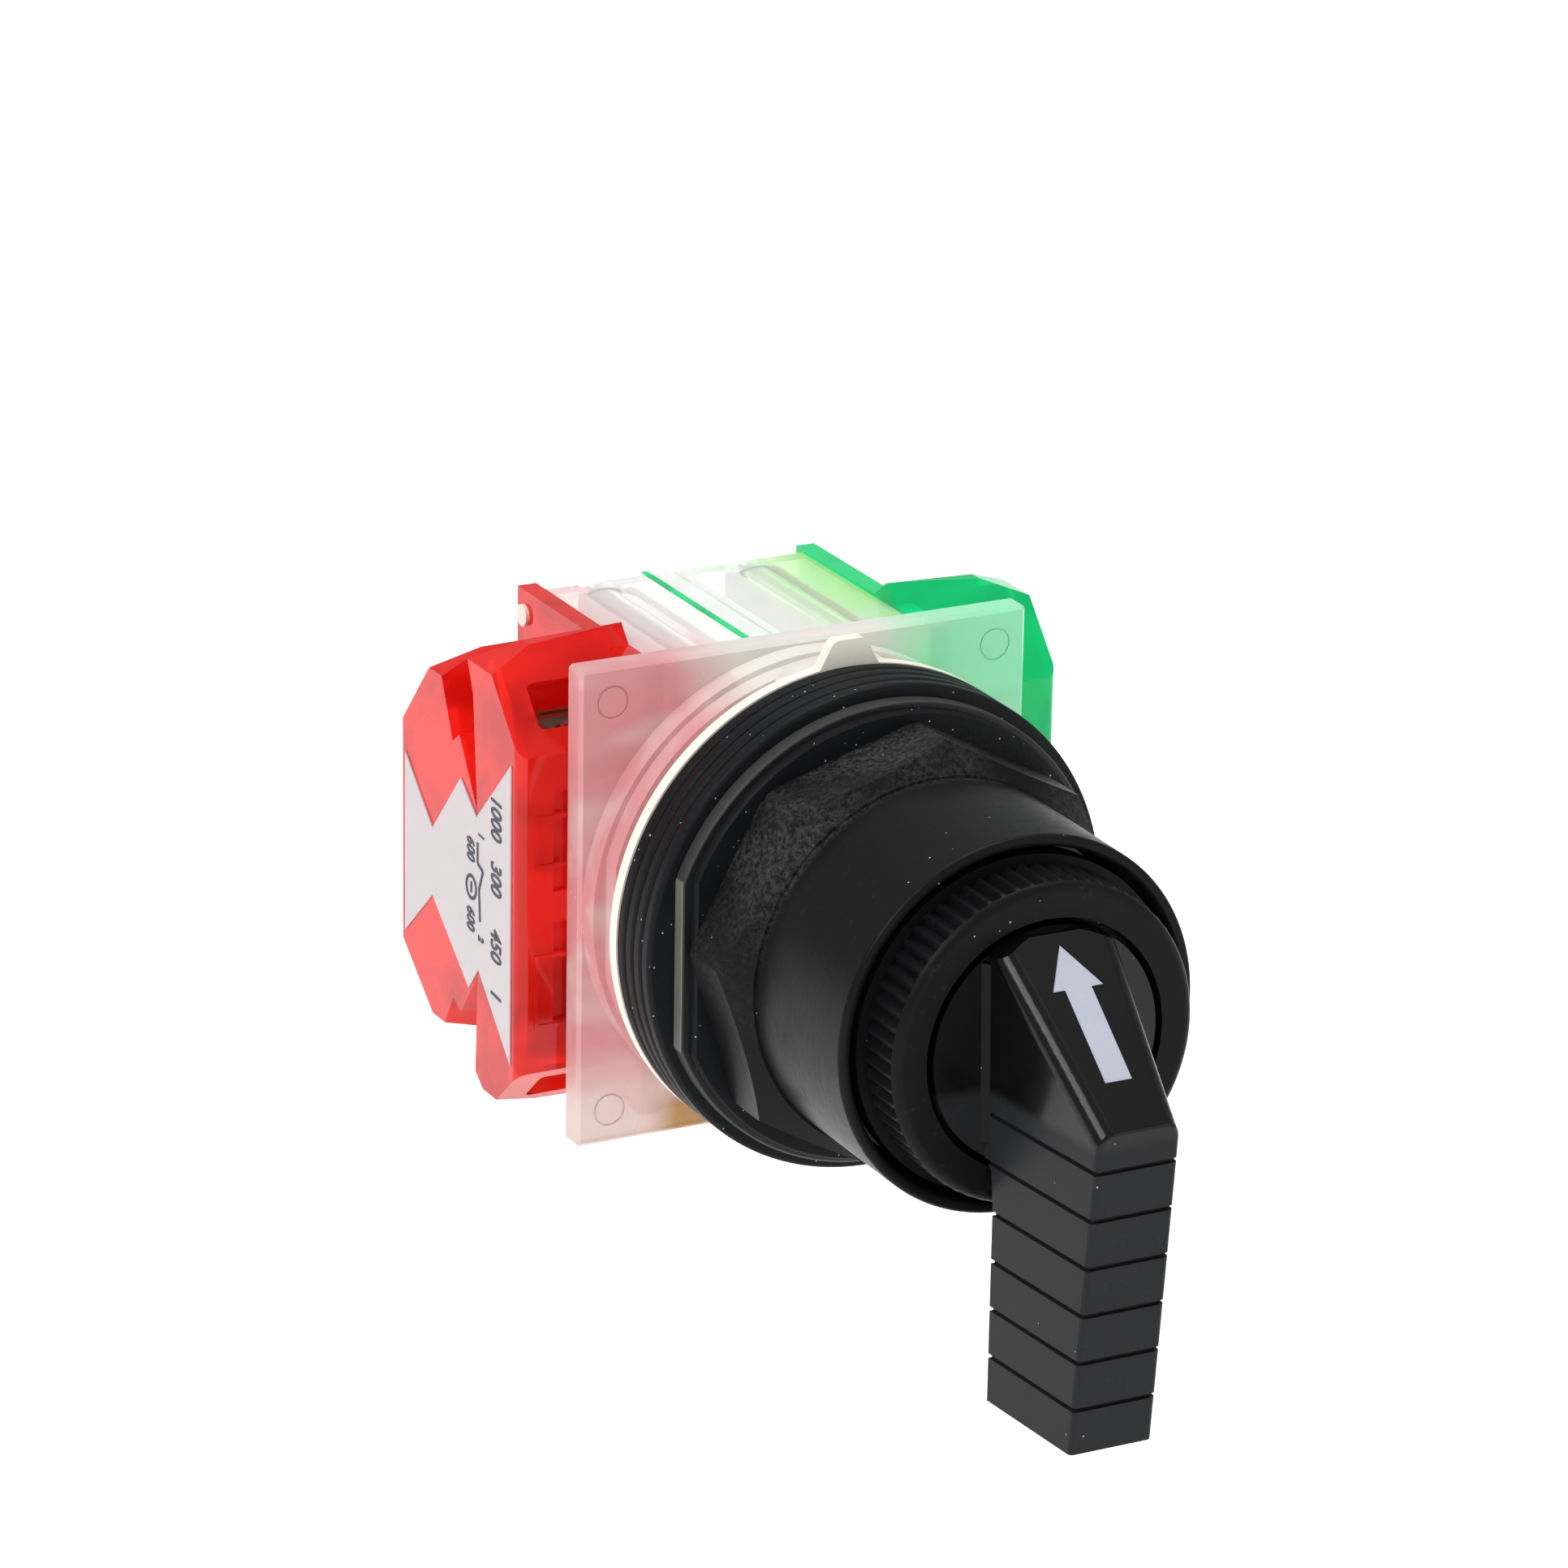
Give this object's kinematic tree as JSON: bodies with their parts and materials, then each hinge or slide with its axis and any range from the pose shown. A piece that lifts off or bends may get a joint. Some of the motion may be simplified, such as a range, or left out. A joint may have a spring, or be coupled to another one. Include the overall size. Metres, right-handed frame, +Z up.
{
  "type": "three-position lever selector switch",
  "caption": "Heavy-duty panel selector switch for a 30.5 mm hole: black lever with white arrow, clamping nut with skirt, gaskets, square base, red and green contact blocks.",
  "frame": {"origin": "on the operator axis, in the plane where the panel's rear face seats", "axes": "+Y along the operator axis away from the person who turns it, +Z up towards the locating nub, +X to the right seen from the front"},
  "size_m": [0.053, 0.0863, 0.0553],
  "materials": {
    "knob": "black moulded",
    "arrow": "white insert",
    "chrome_trim": "black glossy plastic",
    "gasket": "dark rubber",
    "cream": "cream nylon",
    "clear": "clear translucent plastic",
    "red": "translucent red plastic",
    "green": "translucent green plastic",
    "label": "white foil label",
    "zinc": "zinc alloy",
    "steel": "ground steel",
    "screw": "plated steel",
    "spring": "spring steel",
    "contact": "brass with silver buttons",
    "acetal": "white acetal"
  },
  "bodies": {
    "operator": {"base_plate": "clear", "body_screws": "screw", "detent_balls": "steel", "detent_springs": "spring", "flat_washer": "zinc", "gasket_1": "gasket", "gasket_2": "gasket", "gasket_3": "gasket", "gasket_4": "gasket", "guide_plate": "zinc", "locating_washer": "cream", "operator_body": "zinc", "retaining_ring": "chrome_trim", "ring_nut": "chrome_trim", "shaft_seal": "gasket", "thrust_washer": "gasket", "left_case": "red", "left_chamber": "clear", "left_label": "label", "left_eyelet": "cream", "left_fixed_contacts": "contact", "left_return_spring": "spring", "left_terminal_screws": "screw", "left_wire_clamps": "screw", "left_mount_screws": "screw", "right_case": "green", "right_chamber": "clear", "right_label": "label", "right_eyelet": "cream", "right_fixed_contacts": "contact", "right_return_spring": "spring", "right_terminal_screws": "screw", "right_wire_clamps": "screw", "right_mount_screws": "screw"},
    "knob": {"lever_handle": "knob", "pointer_arrow": "arrow", "spindle": "steel", "handle_pin": "steel", "cam": "acetal", "spindle_clip": "spring"},
    "left_plunger": {"left_plunger": "acetal", "left_bridge_contact": "contact"},
    "right_plunger": {"right_plunger": "acetal", "right_bridge_contact": "contact"}
  },
  "joints": [
    {"name": "lever_turn", "type": "hinge", "parent": "operator", "child": "knob", "pos_m": [0, 0, 0], "axis": [0, 1, 0], "range_deg": [-45, 45]},
    {"name": "left_push", "type": "slide", "parent": "operator", "child": "left_plunger", "axis": [0, 1, 0], "range_m": [-0.0016, 0.0016], "deforming": ["left_return_spring"]},
    {"name": "right_push", "type": "slide", "parent": "operator", "child": "right_plunger", "axis": [0, 1, 0], "range_m": [-0.0016, 0.0016], "deforming": ["right_return_spring"]}
  ],
  "couplings": [
    {"joint": "left_push", "follows": "lever_turn", "m_per_rad": -0.0018},
    {"joint": "right_push", "follows": "lever_turn", "m_per_rad": 0.0018}
  ]
}
